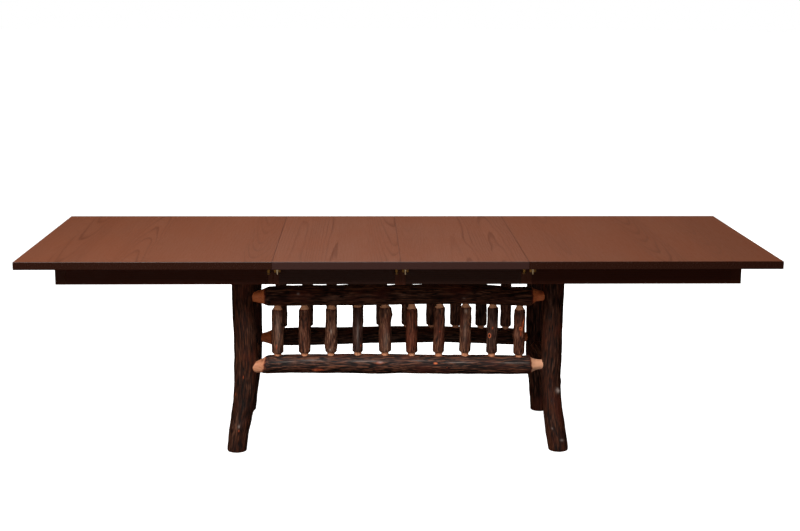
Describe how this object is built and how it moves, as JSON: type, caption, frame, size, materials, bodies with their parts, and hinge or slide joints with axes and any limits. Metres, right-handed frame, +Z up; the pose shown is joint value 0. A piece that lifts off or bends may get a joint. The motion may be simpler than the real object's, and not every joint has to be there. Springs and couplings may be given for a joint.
{
  "type": "rustic hickory table",
  "caption": "Extension dining table: stained oak top with lift-out leaves and geared slides, on a trestle of bark-on hickory logs with a spindle gallery.",
  "frame": {"origin": "on the floor under the middle of the top", "axes": "+X along the table's length, +Y toward the back, +Z up"},
  "size_m": [2.7432, 1.0668, 0.7747],
  "materials": {
    "top_wood": "satin stained oak",
    "skirt_wood": "satin stained oak",
    "block_wood": "stained end grain",
    "slide_wood": "clear-coated maple",
    "bark_log": "hickory bark under clear varnish, peeled tan at the ends",
    "steel": "zinc plated",
    "dark_steel": "blackened",
    "brass": "polished brass"
  },
  "bodies": {
    "base": {"left_front_leg": "bark_log", "left_rear_leg": "bark_log", "right_front_leg": "bark_log", "right_rear_leg": "bark_log", "front_upper_rail": "bark_log", "front_lower_rail": "bark_log", "rear_upper_rail": "bark_log", "rear_lower_rail": "bark_log", "left_cross_rail": "bark_log", "right_cross_rail": "bark_log", "front_spindles": "bark_log", "rear_spindles": "bark_log", "left_bolster": "slide_wood", "right_bolster": "slide_wood", "front_center_slide": "slide_wood", "rear_center_slide": "slide_wood", "slide_screws": "steel", "pinion_axles": "steel"},
    "left_top": {"left_top_panel": "top_wood", "left_front_skirt": "skirt_wood", "left_rear_skirt": "skirt_wood", "left_end_skirt": "skirt_wood", "left_corner_blocks": "skirt_wood", "left_seam_blocks": "block_wood", "left_front_slide": "slide_wood", "left_rear_slide": "slide_wood", "left_racks": "steel", "left_top_latch_screws": "brass"},
    "right_top": {"right_top_panel": "top_wood", "right_front_skirt": "skirt_wood", "right_rear_skirt": "skirt_wood", "right_end_skirt": "skirt_wood", "right_corner_blocks": "skirt_wood", "right_seam_blocks": "block_wood", "right_front_slide": "slide_wood", "right_rear_slide": "slide_wood", "right_racks": "steel", "right_top_latch_screws": "brass", "right_top_keepers": "brass"},
    "leaf_1": {"leaf_1_panel": "top_wood", "leaf_1_front_skirt": "skirt_wood", "leaf_1_rear_skirt": "skirt_wood", "leaf_1_seam_blocks": "block_wood", "leaf_1_keepers": "brass", "leaf_1_latch_screws": "brass"},
    "leaf_2": {"leaf_2_panel": "top_wood", "leaf_2_front_skirt": "skirt_wood", "leaf_2_rear_skirt": "skirt_wood", "leaf_2_seam_blocks": "block_wood", "leaf_2_keepers": "brass", "leaf_2_latch_screws": "brass"},
    "front_pinion": {"front_pinion": "steel"},
    "front_hook_1": {"front_hook_1": "dark_steel"},
    "front_hook_2": {"front_hook_2": "dark_steel"},
    "front_hook_3": {"front_hook_3": "dark_steel"},
    "rear_pinion": {"rear_pinion": "steel"},
    "rear_hook_1": {"rear_hook_1": "dark_steel"},
    "rear_hook_2": {"rear_hook_2": "dark_steel"},
    "rear_hook_3": {"rear_hook_3": "dark_steel"}
  },
  "joints": [
    {"name": "left_top_slide", "type": "slide", "parent": "base", "child": "left_top", "axis": [-1, 0, 0], "range_m": [0, 0.0254]},
    {"name": "right_top_slide", "type": "slide", "parent": "base", "child": "right_top", "axis": [1, 0, 0], "range_m": [0, 0.0254]},
    {"name": "front_pinion_turn", "type": "hinge", "parent": "base", "child": "front_pinion", "pos_m": [0, -0.15, 0.7321], "axis": [0, 0, 1], "range_deg": [-75.65, 0]},
    {"name": "rear_pinion_turn", "type": "hinge", "parent": "base", "child": "rear_pinion", "pos_m": [0, 0.15, 0.7321], "axis": [0, 0, 1], "range_deg": [0, 75.65]},
    {"name": "leaf_1_lift", "type": "slide", "parent": "base", "child": "leaf_1", "axis": [0, 0, 1], "range_m": [0, 0.2]},
    {"name": "leaf_2_lift", "type": "slide", "parent": "base", "child": "leaf_2", "axis": [0, 0, 1], "range_m": [0, 0.2]},
    {"name": "front_hook_1_turn", "type": "hinge", "parent": "left_top", "child": "front_hook_1", "pos_m": [-0.4712, -0.5034, 0.72855], "axis": [0, 0, -1], "range_deg": [0, 90]},
    {"name": "rear_hook_1_turn", "type": "hinge", "parent": "left_top", "child": "rear_hook_1", "pos_m": [-0.4712, 0.5034, 0.72855], "axis": [0, 0, 1], "range_deg": [0, 90]},
    {"name": "front_hook_2_turn", "type": "hinge", "parent": "leaf_1", "child": "front_hook_2", "pos_m": [-0.014, -0.5034, 0.72855], "axis": [0, 0, -1], "range_deg": [0, 90]},
    {"name": "rear_hook_2_turn", "type": "hinge", "parent": "leaf_1", "child": "rear_hook_2", "pos_m": [-0.014, 0.5034, 0.72855], "axis": [0, 0, 1], "range_deg": [0, 90]},
    {"name": "front_hook_3_turn", "type": "hinge", "parent": "leaf_2", "child": "front_hook_3", "pos_m": [0.4432, -0.5034, 0.72855], "axis": [0, 0, -1], "range_deg": [0, 90]},
    {"name": "rear_hook_3_turn", "type": "hinge", "parent": "leaf_2", "child": "rear_hook_3", "pos_m": [0.4432, 0.5034, 0.72855], "axis": [0, 0, 1], "range_deg": [0, 90]}
  ],
  "couplings": [
    {"joint": "right_top_slide", "follows": "left_top_slide", "ratio": 1},
    {"joint": "front_pinion_turn", "follows": "left_top_slide", "rad_per_m": -51.948},
    {"joint": "rear_pinion_turn", "follows": "left_top_slide", "rad_per_m": 51.948}
  ]
}
